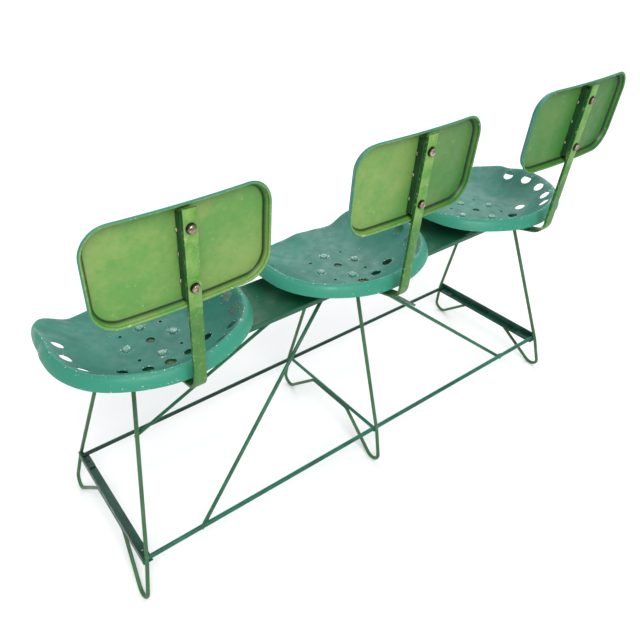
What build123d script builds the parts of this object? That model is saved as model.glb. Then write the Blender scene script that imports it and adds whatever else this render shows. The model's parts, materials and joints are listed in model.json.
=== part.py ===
from build123d import *
import math
import os

# Three-seat bench made of pressed implement seats on a light bent-rod frame. Millimetres, +Z up.
# +X runs along the bench towards the sitter's left, the sitter faces -Y, the backs stand at +Y.

# ---- overall layout -------------------------------------------------------------------------
seat_gap = 62.0             # between neighbouring seats' skirts
rail_top = 451.0            # height of the rail's flat top
rail_end = 87.0             # rail past the outer seats' centres
rail_margin = 4.0           # room across the rail beside a seat nut and a leg rod
back_top = 804.0            # height of the backs' upper rim
fit = 0.3                   # room left beside a welded or resting piece
over = 2.0                  # how far a cutter runs past the face it opens
sides = {"left": 1, "middle": 0, "right": -1}

# ---- rail -----------------------------------------------------------------------------------
rail_plate = 2.0
rail_lip = 11.0             # depth of the turned-down edges, plate included
rail_bend = 3.0             # outside radius of those edges

# ---- leg rods -------------------------------------------------------------------------------
leg_dia = 8.0
splay_reach = 162.5         # where the end legs' plane meets the floor, past the outer seats' centres
splay_slope = 0.217         # how far that plane leans in for each millimetre of height
knee_y = 168.5
knee_z = 96.0
foot_past_knee = 25.5       # foot's corner outboard of the knee
foot_bend = 20.0
return_y = 63.0             # where the hairpin foot comes back up to the cross bar
return_bend = 22.0
knee_bend = 60.0

# ---- cross bars -----------------------------------------------------------------------------
angle_side = 20.0
angle_wall = 3.0
angle_overhang = 6.0        # outer face beyond the centre of the leg rod
cross_dia = 8.0

# ---- stretchers, lugs and braces --------------------------------------------------------------
stretcher_dia = 9.5
lug_length = 38.0
lug_thick = 4.0
lug_corner = 3.0
lug_hole = 6.0              # fixing hole down through each end lug and the angle under it
brace_dia = 8.0
brace_foot_past = 4.0       # where a brace crosses its stretcher, past the outer seat's centre
brace_top_x = 15.0          # all four braces meet under the rail's middle
brace_top_y = 9.0
brace_overhang = 15.0       # end that runs on past the stretcher

# ---- seat pans --------------------------------------------------------------------------------
pan_thick = 2.0
pan_flat = 72.0             # radius of the flat middle
rim_half_width = 175.0      # crest of the rim, to the side
rim_rear = 149.0            # crest of the rim, to the rear
rim_front = 148.0           # front edge
rim_square_rear = 2.2       # superellipse powers: round behind, square in front
rim_square_front = 8.0
rim_rise = ((-90, 13), (-74, 9), (-57, 5), (-41, 31), (-20, 49), (0, 58), (45, 56), (90, 50))
skirt_out = 18.0            # how far the rolled skirt reaches past the crest
skirt_drop = 21.5
skirt_front_share = 0.3     # the skirt's size along the front edge, as a share of the rear's
skirt_curve = ((0.08, -0.01), (0.3, 0.05), (0.55, 0.22), (0.8, 0.58), (1.0, 1.0))   # crest to hem
front_turn = (-12, -42)     # angles between which a side turns into the front edge
centre_hole = 17.0
drain_hole = 6.5
drain_reach = 59.0          # radius of the circle of drain holes
rim_hole = 24.0
rim_hole_angles = (-12, 6, 23, 40, 56)      # one side's rim holes, mirrored to the other
rim_hole_share = 0.84       # place of the rim holes on the wall, from the flat to the crest
arc_hole = 22.0
arc_hole_spots = ((0, 80), (41, 75), (83, 63))      # rear floor holes of one side, X and Y

# ---- seat fixings -----------------------------------------------------------------------------
bolt_dia = 8.0
bolt_clear = 0.6            # hole diameter over bolt diameter
seat_bolt_reach = 47.0      # radius of the circle of seat bolts
dome_dia = 17.0
dome_high = 4.5
nut_flats = 13.0
nut_high = 6.5
thread_gap = 0.05
tail_past_nut = 2.5
spacer_dia = 22.0

# ---- back straps ------------------------------------------------------------------------------
strap_width = 22.0
strap_thick = 6.0
strap_clear = 29.0          # from the seat's skirt to the upright part, at the backs' mid height
strap_corner_rise = 26.0    # lower corner above the rail's top
strap_corner_bend = 32.0
strap_lift_past = 17.0      # where the strap starts to rise, past the rail's edge
strap_lift_bend = 60.0
strap_below_top = 7.0       # strap's end below the backs' upper edge

# ---- backs ------------------------------------------------------------------------------------
back_width = 298.0          # before the bow draws the ends forward into the flare
back_high = 164.0
back_corner = 44.0
back_sheet = 1.6
back_depth = 15.0           # rim, front to rear
back_flare = 30.0           # degrees the rim opens outward towards the rear
back_lean = 2.9             # degrees the uprights and backs lean to the rear
back_bead = 4.5             # thickness of the rolled rear edge
back_curve = 1400.0         # radius of the bow round the sitter
back_shift = 5.0            # the backs sit this far off the strap's centre line
back_bolt_inset = 35.0      # from the back's upper and lower rim to a bolt
channel_width = 24.0
channel_wall = 2.0
channel_short = 1.5         # room above and below the channel, inside the rim
acorn_high = 7.0            # domed nut, hexagon and dome together
acorn_flats = 4.2           # height of its hexagon
acorn_dome = 12.0           # diameter of its dome

# ---- worked-out places --------------------------------------------------------------------------
seat_pitch = 2 * (rim_half_width + skirt_out) + seat_gap
rail_length = 2 * (seat_pitch + rail_end)
rail_width = 2 * (seat_bolt_reach + nut_flats / 2 + rail_margin + leg_dia + rail_plate)
rail_under = rail_top - rail_plate
lug_width = angle_side - angle_wall - 2 * fit
splay_foot = seat_pitch + splay_reach
foot_y = knee_y + foot_past_knee
strap_face = rail_top + strap_thick
pan_top = strap_face + pan_thick
bolt_bore = bolt_dia + bolt_clear
stretcher_y = knee_y - leg_dia / 2 - 2 * fit - stretcher_dia / 2
brace_foot_x = seat_pitch + brace_foot_past
shelf_z = knee_z - stretcher_dia / 2 - fit      # upper face of an angle's lower leg
back_low = back_top - back_high
back_mid_z = (back_top + back_low) / 2
back_bolt_heights = (back_low + back_bolt_inset, back_top - back_bolt_inset)
strap_front_y = rim_rear + skirt_out + strap_clear
strap_rear_y = strap_front_y + strap_thick


def splay_x(z):
    """X of the left end legs' plane at height z."""
    return splay_foot - splay_slope * z


def smooth(t):
    """Eased step from 0 to 1."""
    t = min(max(t, 0.0), 1.0)
    return t * t * (3 - 2 * t)


# ---- seat pan's surface -------------------------------------------------------------------------
def rim_height(angle):
    """Rise of the crest over the flat at an angle in degrees, 90 being the rear."""
    angle = 90 - abs(90 - angle) if angle > 90 else angle
    for (a0, h0), (a1, h1) in zip(rim_rise, rim_rise[1:]):
        if a0 <= angle <= a1:
            return h0 + (h1 - h0) * smooth((angle - a0) / (a1 - a0))
    return rim_rise[-1][1]


def front_share(angle):
    """1 along the front edge, 0 at the sides and rear."""
    start, end = front_turn
    return smooth((start - angle) / (start - end)) if angle <= 90 else front_share(180 - angle)


def rim_reach(angle):
    """Distance from the seat's centre to the crest."""
    a = math.radians(angle)
    power = rim_square_rear + (rim_square_front - rim_square_rear) * front_share(angle)
    depth = rim_rear if math.sin(a) > 0 else rim_front
    x = abs(math.cos(a)) / rim_half_width
    y = abs(math.sin(a)) / depth
    return (x ** power + y ** power) ** (-1 / power)


def pan_height(angle, share):
    """Height of the inner surface, share running from the flat's edge (0) to the crest (1)."""
    return pan_top + rim_height(angle) * share * share * (3 - share) / 2


def pan_section(angle):
    """Closed face of the pan cut by the upright plane at an angle, from the centre hole to the skirt."""
    reach = rim_reach(angle)
    crest = pan_top + rim_height(angle)
    size = 1 - (1 - skirt_front_share) * front_share(angle)
    wall_shares = (0, 0.2, 0.4, 0.6, 0.8, 0.93)
    upper = [(pan_flat + (reach - pan_flat) * s, pan_height(angle, s)) for s in wall_shares]
    for out, drop in skirt_curve:
        upper.append((reach + skirt_out * size * out, crest - skirt_drop * size * drop))
    lower = []
    for i, (r, z) in enumerate(upper):
        before, after = upper[max(i - 1, 0)], upper[min(i + 1, len(upper) - 1)]
        dr, dz = (after[0] - before[0], after[1] - before[1]) if i else (1.0, 0.0)
        span = math.hypot(dr, dz)
        lower.append((r + pan_thick * dz / span, z - pan_thick * dr / span))
    a = math.radians(angle)
    outward = Vector(math.cos(a), math.sin(a), 0)
    top, under = [[outward * r + Vector(0, 0, z) for r, z in side] for side in (upper, lower)]
    inner = [outward * (centre_hole / 2) + Vector(0, 0, z) for z in (pan_top, pan_top - pan_thick)]
    edges = [Line(inner[0], top[0]), smooth_edge(top, outward), Line(top[-1], under[-1])]
    edges += [smooth_edge(under, outward), Line(under[0], inner[1]), Line(inner[1], inner[0])]
    return Face(Wire(edges))


def smooth_edge(points, start_way):
    """Curve through points that leaves the first one level and ends along its last leg."""
    return Spline(points, tangents=[start_way, (points[-1] - points[-2]).normalized()])


def punch(angle, share, dia):
    """Punch that stands square to the pan at an angle and a share of the wall."""
    wall = rim_reach(angle) - pan_flat
    a = math.radians(angle)
    radius = pan_flat + wall * share
    slope = (pan_height(angle, share + 0.05) - pan_height(angle, share - 0.05)) / (0.1 * wall)
    normal = Vector(-slope * math.cos(a), -slope * math.sin(a), 1)
    centre = Vector(radius * math.cos(a), radius * math.sin(a), pan_height(angle, share))
    return Plane(origin=centre, z_dir=normal) * Cylinder(dia / 2, 8 * pan_thick)


def side_punches():
    """Punches of the +X side's rim holes and rear floor holes, the middle one among them."""
    punches = [punch(angle, rim_hole_share, rim_hole) for angle in rim_hole_angles]
    for x, y in arc_hole_spots:
        angle = math.degrees(math.atan2(y, x))
        share = (math.hypot(x, y) - pan_flat) / (rim_reach(angle) - pan_flat)
        punches.append(punch(angle, share, arc_hole))
    return punches


def drills(spots, dia, height):
    """Upright drills through a thin sheet at a height."""
    return [Pos(x, y, height) * Cylinder(dia / 2, 10 * pan_thick) for x, y in spots]


def seat_bolt_spots():
    """Places of the four seat bolts round a seat's centre."""
    return [(seat_bolt_reach, 0), (0, seat_bolt_reach), (-seat_bolt_reach, 0), (0, -seat_bolt_reach)]


def make_seat_pan():
    """Dished pan with a rolled skirt, punched rim holes, drain holes, bolt holes and a centre hole."""
    angles = [-90, -82, -74, -66, -57, -49, -44, -40, -36, -30, -22, -12, 0, 14, 30, 46, 62, 76, 90]
    half = loft([pan_section(a) for a in angles]) - side_punches()
    pan = half + mirror(half, about=Plane.YZ)
    step = drain_reach * math.sqrt(0.5)
    drains = [(step, step), (-step, step), (-step, -step), (step, -step)]
    return pan - drills(seat_bolt_spots(), bolt_bore, pan_top) - drills(drains, drain_hole, pan_top)


# ---- frame ----------------------------------------------------------------------------------------
def make_rail():
    """Shallow channel: flat top with turned-down edges, drilled for the seat bolts."""
    outer = Pos(0, 0, rail_top - rail_lip / 2) * Box(rail_length, rail_width, rail_lip)
    long_edges = outer.edges().filter_by(Axis.X).group_by(Axis.Z)[-1]
    outer = fillet(long_edges, rail_bend)
    inner = Box(rail_length + over, rail_width - 2 * rail_plate, rail_lip)
    rail = outer - Pos(0, 0, rail_under - rail_lip / 2) * inner
    spots = [(side * seat_pitch + x, y) for side in sides.values() for x, y in seat_bolt_spots()]
    return rail - drills(spots, bolt_bore, rail_top)


def leg_frame_plane(side):
    """Plane of a leg frame: its X runs along +Y, its Y climbs the frame, its origin is on the floor."""
    lean = math.atan(splay_slope) * side
    climb = Vector(-math.sin(lean), 0, math.cos(lean))
    across = Vector(0, 1, 0)
    return Plane(origin=(splay_foot * side, 0, 0), x_dir=across, z_dir=across.cross(climb))


def make_leg_rod(side, run_z):
    """One bent rod: leg, hairpin foot, run under the cross bar, hairpin foot, leg."""
    stretch = 1 / math.cos(math.atan(splay_slope) * side)
    lean_y = (knee_y - rail_width / 2) / (rail_under - knee_z)
    leg_top_y = rail_width / 2 - rail_plate - leg_dia / 2 - 2 * fit - rail_lip * lean_y
    tilt = math.atan(math.hypot(lean_y, splay_slope * side))
    top = Vector(leg_top_y, (rail_under - fit - leg_dia / 2 * math.sin(tilt)) * stretch)
    knee = Vector(knee_y, knee_z * stretch)
    run = Vector(return_y, run_z * stretch)
    corner = foot_corner(knee, run, leg_dia / 2 * stretch)
    half = [top, knee, corner, run]
    points = half + [Vector(-p.X, p.Y) for p in reversed(half)]
    bends = [knee_bend, foot_bend, return_bend]
    path = FilletPolyline(*points, radius=bends + bends[::-1])
    plane = leg_frame_plane(side)
    start = Plane(origin=path @ 0, z_dir=path % 0)
    rod = sweep(start * Circle(leg_dia / 2), path=path)
    return plane * rod


def foot_corner(knee, run, low):
    """Corner of the foot whose bend has its lowest point at height low."""
    height = low
    for _ in range(20):
        corner = Vector(foot_y, height)
        up_leg = (knee - corner).normalized()
        up_run = (run - corner).normalized()
        half_turn = math.radians(up_leg.get_angle(up_run)) / 2
        middle = corner + (up_leg + up_run).normalized() * (foot_bend / math.sin(half_turn))
        height += low - (middle.Y - foot_bend)
    return Vector(foot_y, height)


def make_cross_angle(side):
    """Angle bar between two end legs, its upright leg outboard, drilled under both lugs."""
    length = 2 * (knee_y - leg_dia / 2 - fit)
    base = shelf_z - angle_wall
    outer_x = splay_x(knee_z) + angle_overhang
    shelf = Pos(outer_x - angle_side / 2, 0, base + angle_wall / 2) * Box(angle_side, length, angle_wall)
    web = Pos(outer_x - angle_wall / 2, 0, base + angle_side / 2) * Box(angle_wall, length, angle_side)
    x, y = lug_spot()
    bar = shelf + web - drills([(x, y), (x, -y)], lug_hole, base)
    return bar if side > 0 else mirror(bar, about=Plane.YZ)


def make_cross_rod():
    """Plain rod level with the two stretchers, butted between them over the middle feet."""
    length = 2 * (stretcher_y - stretcher_dia / 2 - fit)
    return Pos(0, 0, knee_z) * Rot(90, 0, 0) * Cylinder(cross_dia / 2, length)


def stretcher_end_x():
    """X where a stretcher stops, against the upright leg of the angle."""
    return splay_x(knee_z) + angle_overhang - angle_wall - fit


def lug_spot():
    """Middle of the lug at the left rear, X and Y."""
    return stretcher_end_x() - lug_width / 2, stretcher_y - stretcher_dia / 2 - fit - lug_length / 2


def make_stretcher(row):
    """Long rod, one along each side of the frame, resting on the two angles."""
    rod = Cylinder(stretcher_dia / 2, 2 * stretcher_end_x())
    return Pos(0, row * stretcher_y, knee_z) * Rot(0, 90, 0) * rod


def make_lugs():
    """Flat lugs beside the stretchers' ends, on the angles, each with a fixing hole down its middle."""
    lug = Box(lug_width, lug_length, lug_thick)
    lug = fillet(lug.edges().filter_by(Axis.Z), lug_corner) - Cylinder(lug_hole / 2, 2 * lug_thick)
    x, y = lug_spot()
    return [Pos(sx * x, sy * y, shelf_z + lug_thick / 2) * lug for sx in (-1, 1) for sy in (-1, 1)]


def make_brace(side, row):
    """Sloping rod from under the rail's middle to a stretcher, running on a little past it."""
    rise = math.cos(math.atan2(rail_under - knee_z, brace_foot_x - brace_top_x))
    top = Vector(side * brace_top_x, row * brace_top_y, rail_under - brace_dia / 2 * rise - fit)
    foot = Vector(side * brace_foot_x, row * stretcher_y, knee_z)
    aside = Vector(1, 0, 0).cross(foot - top).normalized()
    aside = aside * (-1 if aside.Y * row > 0 else 1)
    touch = foot + aside * (stretcher_dia / 2 + brace_dia / 2 + fit)
    along = (touch - top).normalized()
    length = (touch - top).length + brace_overhang
    return Plane(origin=top + along * (length / 2), z_dir=along) * Cylinder(brace_dia / 2, length)


# ---- backs ------------------------------------------------------------------------------------------
def make_strap():
    """Flat bar: along the rail under the seat, up a slope, round a bend and up behind the back."""
    level = rail_top + strap_thick / 2
    corner_z, end_z = rail_top + strap_corner_rise, back_top - strap_below_top
    points = [
        (-seat_bolt_reach - strap_width / 2, level),
        (rail_width / 2 + strap_lift_past, level),
        (strap_middle_y(corner_z), corner_z),
        (strap_middle_y(end_z), end_z),
    ]
    path = FilletPolyline(*[Vector(0, y, z) for y, z in points], radius=[strap_lift_bend, strap_corner_bend])
    start = Plane(origin=path @ 0, x_dir=(1, 0, 0), z_dir=path % 0)
    bar = sweep(start * Rectangle(strap_width, strap_thick), path=path)
    bar = bar - drills([(0, -seat_bolt_reach), (0, seat_bolt_reach)], bolt_bore, rail_top)
    return bar - [lean(drill) for drill in back_drills(strap_rear_y, 4 * strap_thick)]


def strap_middle_y(z):
    """Y of the middle of the leaning upright's thickness at height z."""
    return strap_rear_y - strap_thick / 2 + (z - back_mid_z) * math.tan(math.radians(back_lean))


def bowed_slab(front, rear):
    """Part of a big upright tube's wall, bowed round the sitter, between two depths at the middle."""
    axis_y = rear_face_y() - back_curve
    tall = 2 * back_high
    outer = Pos(0, axis_y, back_mid_z) * Cylinder(rear + back_curve, tall)
    inner = Pos(0, axis_y, back_mid_z) * Cylinder(front + back_curve, tall + over)
    return outer - inner


def rear_face_y():
    """Rear face of a back's rim at its middle, against the strap."""
    return strap_front_y - fit


def outline_block(inset):
    """The back's rounded outline as a block that tapers to the front, smaller all round by an inset."""
    width, high = back_width - 2 * inset, back_high - 2 * inset
    outline = RectangleRounded(width, high, back_corner - inset)
    plane = Plane(origin=(back_shift, rear_face_y(), back_mid_z), x_dir=(1, 0, 0), z_dir=(0, -1, 0))
    return extrude(plane * outline, amount=back_depth + back_bow() + fit, taper=back_flare)


def back_bow():
    """How far the back's ends stand in front of its middle."""
    half = back_width / 2 + abs(back_shift)
    return back_curve - math.sqrt(back_curve ** 2 - half ** 2)


def make_back_pan():
    """Pressed back: bowed sheet, rim turned to the rear and a thick rolled edge on the rim."""
    body = outline_block(0) & bowed_slab(-back_depth, over)
    hollow = outline_block(back_sheet) & bowed_slab(back_sheet - back_depth, -back_bead)
    mouth = outline_block(back_bead) & bowed_slab(-back_bead - fit, over)
    pan = body - hollow - mouth
    return pan - back_drills(rear_face_y() - back_depth, 4 * back_sheet)


def back_drills(y, length):
    """Bores of the two back bolts, centred at a depth."""
    bore = Rot(90, 0, 0) * Cylinder(bolt_bore / 2, length)
    return [Pos(0, y, z) * bore for z in back_bolt_heights]


def lean(shape):
    """A piece of the back, or its drill, built upright and tipped to the rear with the strap."""
    pivot = Pos(0, strap_rear_y, back_mid_z)
    return pivot * Rot(-back_lean, 0, 0) * pivot.inverse() * shape


def channel_front_y():
    """Front edge of the stiffening channel, on the inside of the bowed sheet."""
    return rear_face_y() - back_depth + back_sheet + fit


def make_channel():
    """Upright channel behind the sheet that carries the back on the strap."""
    rear = strap_front_y
    front = channel_front_y()
    flare_in = back_depth * math.tan(math.radians(back_flare))
    high = back_high - 2 * (flare_in + back_bead + channel_short)
    outer = Pos(0, (rear + front) / 2, back_mid_z) * Box(channel_width, rear - front, high)
    outer = fillet(outer.edges().filter_by(Axis.Z).group_by(Axis.Y)[-1], channel_wall)
    inner = Pos(0, (rear + front) / 2 - channel_wall, back_mid_z)
    inner = inner * Box(channel_width - 2 * channel_wall, rear - front, high + over)
    channel = outer - inner
    return channel - back_drills(rear, 4 * channel_wall)


# ---- fasteners ------------------------------------------------------------------------------------------
def dome(dia, high):
    """Low domed head standing on the plane Z = 0."""
    ball = ((dia / 2) ** 2 + high ** 2) / (2 * high)
    return (Pos(0, 0, high - ball) * Sphere(ball)) & (Pos(0, 0, high / 2) * Box(dia, dia, high))


def make_seat_bolts():
    """Four dome-headed bolts through pan, strap or spacers, and rail."""
    top = pan_top + fit / 3
    tail = rail_under - nut_high - tail_past_nut
    shank = Pos(0, 0, (top + tail) / 2) * Cylinder(bolt_dia / 2, top - tail)
    bolt = shank + Pos(0, 0, top) * dome(dome_dia, dome_high)
    return [Pos(x, y, 0) * bolt for x, y in seat_bolt_spots()]


def hex_nut():
    """Hexagon nut with chamfered corners, bored to pass its bolt, centred on Z = 0."""
    nut = extrude(RegularPolygon(nut_flats / 2, 6, major_radius=False), nut_high / 2, both=True)
    cone = Cone(nut_flats / 2 + nut_high, nut_flats / 2 + fit, nut_high)
    nut = (nut & cone) & (Rot(180, 0, 0) * cone)
    return nut - Cylinder(bolt_dia / 2 + thread_gap, 2 * nut_high)


def make_seat_nuts():
    """Four nuts under the rail."""
    nut = hex_nut()
    return [Pos(x, y, rail_under - nut_high / 2) * nut for x, y in seat_bolt_spots()]


def make_seat_spacers():
    """Two washers as thick as the strap, under the pan at the bolts the strap misses."""
    ring = Pos(0, 0, rail_top + strap_thick / 2) * (
        Cylinder(spacer_dia / 2, strap_thick) - Cylinder(bolt_bore / 2, 2 * strap_thick)
    )
    return [Pos(x, 0, 0) * ring for x in (-seat_bolt_reach, seat_bolt_reach)]


def make_back_bolts():
    """Two dome-headed bolts from the sitter's side, through sheet, channel and strap."""
    head_y = rear_face_y() - back_depth - fit / 3
    tail_y = strap_rear_y + acorn_flats
    shank = Pos(0, (head_y + tail_y) / 2, 0) * Rot(90, 0, 0) * Cylinder(bolt_dia / 2, tail_y - head_y)
    bolt = shank + Pos(0, head_y, 0) * Rot(90, 0, 0) * dome(dome_dia, dome_high)
    return [Pos(0, 0, z) * bolt for z in back_bolt_heights]


def make_back_nuts():
    """Two domed nuts on the strap's rear face."""
    cap = extrude(RegularPolygon(nut_flats / 2, 6, major_radius=False), acorn_flats)
    cap = cap + Pos(0, 0, acorn_flats) * dome(acorn_dome, acorn_high - acorn_flats)
    cap = cap - Cylinder(bolt_dia / 2 + thread_gap, 2 * (acorn_flats + thread_gap))
    return [Pos(0, strap_rear_y + fit / 3, z) * Rot(-90, 0, 0) * cap for z in back_bolt_heights]


# ---- assembly ---------------------------------------------------------------------------------------------
def build():
    """Every node by name, each a list of solids in the bench's own place."""
    under_bar = fit + leg_dia / 2
    run_z = {"end": shelf_z - angle_wall - under_bar, "middle": knee_z - cross_dia / 2 - under_bar}
    nodes = {"rail": [make_rail()]}
    seat_set = {
        "seat_pan": [make_seat_pan()],
        "seat_bolts": make_seat_bolts(),
        "seat_nuts": make_seat_nuts(),
        "seat_spacers": make_seat_spacers(),
        "back_strap": [make_strap()],
        "back_pan": [lean(make_back_pan())],
        "back_channel": [lean(make_channel())],
        "back_bolts": [lean(bolt) for bolt in make_back_bolts()],
        "back_nuts": [lean(nut) for nut in make_back_nuts()],
    }
    for place, side in sides.items():
        for name, solids in seat_set.items():
            nodes[f"{name}_{place}"] = [Pos(side * seat_pitch, 0, 0) * s for s in solids]
        nodes[f"leg_rod_{place}"] = [make_leg_rod(side, run_z["end" if side else "middle"])]
    nodes["cross_angle_left"] = [make_cross_angle(1)]
    nodes["cross_angle_right"] = [make_cross_angle(-1)]
    nodes["cross_rod_middle"] = [make_cross_rod()]
    nodes["stretcher_lugs"] = make_lugs()
    for row_name, row in (("front", -1), ("rear", 1)):
        nodes[f"{row_name}_stretcher"] = [make_stretcher(row)]
        for place in ("left", "right"):
            nodes[f"{row_name}_brace_{place}"] = [make_brace(sides[place], row)]
    return nodes


def main():
    """Sets the origin under the middle of the whole bench and writes one STEP file for each node."""
    os.makedirs("parts", exist_ok=True)
    nodes = build()
    solids = {name: [solid for piece in group for solid in piece.solids()] for name, group in nodes.items()}
    box = Compound([solid for group in solids.values() for solid in group]).bounding_box()
    shift = Pos(-(box.min.X + box.max.X) / 2, -(box.min.Y + box.max.Y) / 2, -box.min.Z)
    for name, group in solids.items():
        moved = [shift * solid for solid in group]
        export_step(moved[0] if len(moved) == 1 else Compound(moved), f"parts/{name}.step")
    print("moved by", shift.position)


main()
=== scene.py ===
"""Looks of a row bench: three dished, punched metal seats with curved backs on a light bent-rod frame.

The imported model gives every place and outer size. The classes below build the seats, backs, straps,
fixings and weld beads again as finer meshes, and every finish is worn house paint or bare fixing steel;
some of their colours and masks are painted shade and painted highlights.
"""

from __future__ import annotations

import json
import logging
import math
import random
from dataclasses import dataclass, field, replace
from enum import Enum
from typing import Callable, Sequence

import bmesh
import bpy
from mathutils import Matrix, Vector, noise

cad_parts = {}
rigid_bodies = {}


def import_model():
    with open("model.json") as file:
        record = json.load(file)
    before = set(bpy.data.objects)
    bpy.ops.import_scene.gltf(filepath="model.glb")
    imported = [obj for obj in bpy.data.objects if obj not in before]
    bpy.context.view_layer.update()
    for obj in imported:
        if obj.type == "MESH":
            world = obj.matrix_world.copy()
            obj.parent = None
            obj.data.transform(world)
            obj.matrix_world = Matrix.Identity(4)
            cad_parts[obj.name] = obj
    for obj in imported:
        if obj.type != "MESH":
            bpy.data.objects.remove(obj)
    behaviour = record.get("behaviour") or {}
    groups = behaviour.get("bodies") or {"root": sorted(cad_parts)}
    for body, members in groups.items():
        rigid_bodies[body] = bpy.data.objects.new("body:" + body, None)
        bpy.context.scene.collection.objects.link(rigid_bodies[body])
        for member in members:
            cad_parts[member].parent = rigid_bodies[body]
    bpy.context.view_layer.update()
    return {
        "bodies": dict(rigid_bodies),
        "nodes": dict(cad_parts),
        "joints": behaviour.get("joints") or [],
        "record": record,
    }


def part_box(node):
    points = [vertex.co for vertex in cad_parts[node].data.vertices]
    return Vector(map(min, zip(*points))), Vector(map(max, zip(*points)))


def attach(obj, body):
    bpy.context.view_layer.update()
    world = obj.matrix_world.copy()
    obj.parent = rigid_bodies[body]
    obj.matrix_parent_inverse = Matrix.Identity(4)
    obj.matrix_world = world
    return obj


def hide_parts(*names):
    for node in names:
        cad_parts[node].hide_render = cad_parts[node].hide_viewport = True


LOG = logging.getLogger("bench")
MM = 0.001
BODY = "root"
CROSS = ((1, 0), (0, 1), (-1, 0), (0, -1))
Colour = tuple[float, float, float, float]
Ring = tuple[float, float, float]
BMesh = bmesh.types.BMesh
Material = bpy.types.Material
Node = bpy.types.Node
Piece = bpy.types.Object
Socket = bpy.types.NodeSocket


class Place(Enum):
    """Where a seat or leg frame stands along the bench."""

    LEFT = "left"
    MIDDLE = "middle"
    RIGHT = "right"


class Mask(Enum):
    """Names of the painted-on masks that meshes carry for their finishes, painted shade and painted
    highlights among them.
    """

    WEAR = "wear"
    # Second paint tone on backs, painted highlight on seat skirts, painted shade on strap sides.
    TONE_AND_SHADING = "tone_and_shading"
    # Painted shade in bends, under parts, at the foot of walls and round the feet of fixings.
    PAINTED_SHADE = "painted_shade"
    # Painted shade that darkens across backs and down straps.
    SHADE_GRADE = "shade_grade"


def tint(red: int, green: int, blue: int) -> Colour:
    """Turns a paint chart's 0 to 255 values into a linear colour.

    Args:
        red: Red, 0 to 255.
        green: Green, 0 to 255.
        blue: Blue, 0 to 255.

    Returns:
        The linear colour with full alpha.
    """
    def linear(value: int) -> float:
        """One channel as linear light."""
        share = value / 255
        return share / 12.92 if share <= 0.04045 else ((share + 0.055) / 1.055) ** 2.4

    return linear(red), linear(green), linear(blue), 1.0


def eased(share: float) -> float:
    """Eased step from 0 to 1 of a share."""
    share = min(max(share, 0.0), 1.0)
    return share * share * (3 - 2 * share)


def bell(offset: float, width: float) -> float:
    """1 at no offset, falling off smoothly over a width on both sides."""
    return math.exp(-(offset / width) ** 2)


def centre(node: str) -> Vector:
    """Middle of a CAD node's box."""
    low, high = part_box(node)
    return (low + high) / 2


# ---- Shader groups ----
class Nodes:
    """A node tree with short ways to add and join its nodes."""

    def __init__(self, tree: bpy.types.NodeTree) -> None:
        """Wraps a tree."""
        self.tree = tree

    def feed(self, target: Socket, value: object) -> None:
        """Feeds an input from a socket or with a plain value."""
        if isinstance(value, Socket):
            self.tree.links.new(value, target)
        else:
            target.default_value = value

    def node(self, kind: str, inputs: dict[str, object] | None = None, **settings: object) -> Node:
        """Adds a node.

        Args:
            kind: The node's type, without its leading ShaderNode.
            inputs: A socket or a plain value by input name.
            settings: Its properties by name.

        Returns:
            The node.
        """
        made = self.tree.nodes.new("ShaderNode" + kind)
        for key, value in settings.items():
            setattr(made, key, value)
        for label, value in (inputs or {}).items():
            self.feed(made.inputs[label], value)
        return made

    def maths(self, kind: str, first: object, second: object) -> Socket:
        """The outcome of an operation on two sockets or numbers."""
        made = self.node("Math", operation=kind)
        for target, value in zip(made.inputs, (first, second)):
            self.feed(target, value)
        return made.outputs[0]

    def mix(self, share: Socket, under: object, over: object) -> Socket:
        """Lays one colour over another by a share."""
        inputs = {"Factor": share, "A": under, "B": over}
        return self.node("Mix", inputs, data_type="RGBA").outputs["Result"]


class Group(Nodes):
    """A shader node group that is built once and placed in many materials."""

    def __init__(self, name: str, inputs: dict[str, object], outputs: dict[str, str]) -> None:
        """Makes the group and its sockets.

        Args:
            name: Name of the group.
            inputs: Socket name to its default: none for a vector, else a colour or a number.
            outputs: Socket name to its kind.
        """
        super().__init__(bpy.data.node_groups.new(name, "ShaderNodeTree"))
        sockets = self.tree.interface
        for label, default in inputs.items():
            kind = "Vector" if default is None else "Color" if isinstance(default, tuple) else "Float"
            socket = sockets.new_socket(name=label, in_out="INPUT", socket_type="NodeSocket" + kind)
            if default is not None:
                socket.default_value = default
        for label, kind in outputs.items():
            sockets.new_socket(name=label, in_out="OUTPUT", socket_type="NodeSocket" + kind)
        self.given = self.tree.nodes.new("NodeGroupInput").outputs
        self.result = self.tree.nodes.new("NodeGroupOutput").inputs

    def noise(self, scale: Socket, detail: float, rough: float) -> Socket:
        """Noise over the group's Vector, with its octaves and their roughness."""
        inputs = {"Vector": self.given["Vector"], "Scale": scale, "Detail": detail, "Roughness": rough}
        return self.node("TexNoise", inputs).outputs["Fac"]

    def span(self, source: Socket, low: float, high: float) -> Socket:
        """A smooth map of a value's span from low to high onto 0 to 1."""
        inputs = {"Value": source, "From Min": low, "From Max": high}
        return self.node("MapRange", inputs, interpolation_type="SMOOTHSTEP").outputs["Result"]


def mottle_group() -> Group:
    """Broad and fine drifts between two tones of paint.

    Returns:
        A group with Vector, Tone A, Tone B and Scale in, and Colour out.
    """
    tones = {"Tone A": (0.1, 0.3, 0.3, 1), "Tone B": (0.2, 0.4, 0.3, 1)}
    group = Group("PaintMottle", {"Vector": None, **tones, "Scale": 12.0}, {"Colour": "Color"})
    given = group.given
    broad = group.noise(given["Scale"], 4.0, 0.6)
    fine = group.noise(group.maths("MULTIPLY", given["Scale"], 9.0), 6.0, 0.7)
    both = group.maths("ADD", group.maths("MULTIPLY", broad, 0.72), group.maths("MULTIPLY", fine, 0.28))
    share = group.span(both, 0.36, 0.64)
    group.feed(group.result["Colour"], group.mix(share, given["Tone A"], given["Tone B"]))
    return group


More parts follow.
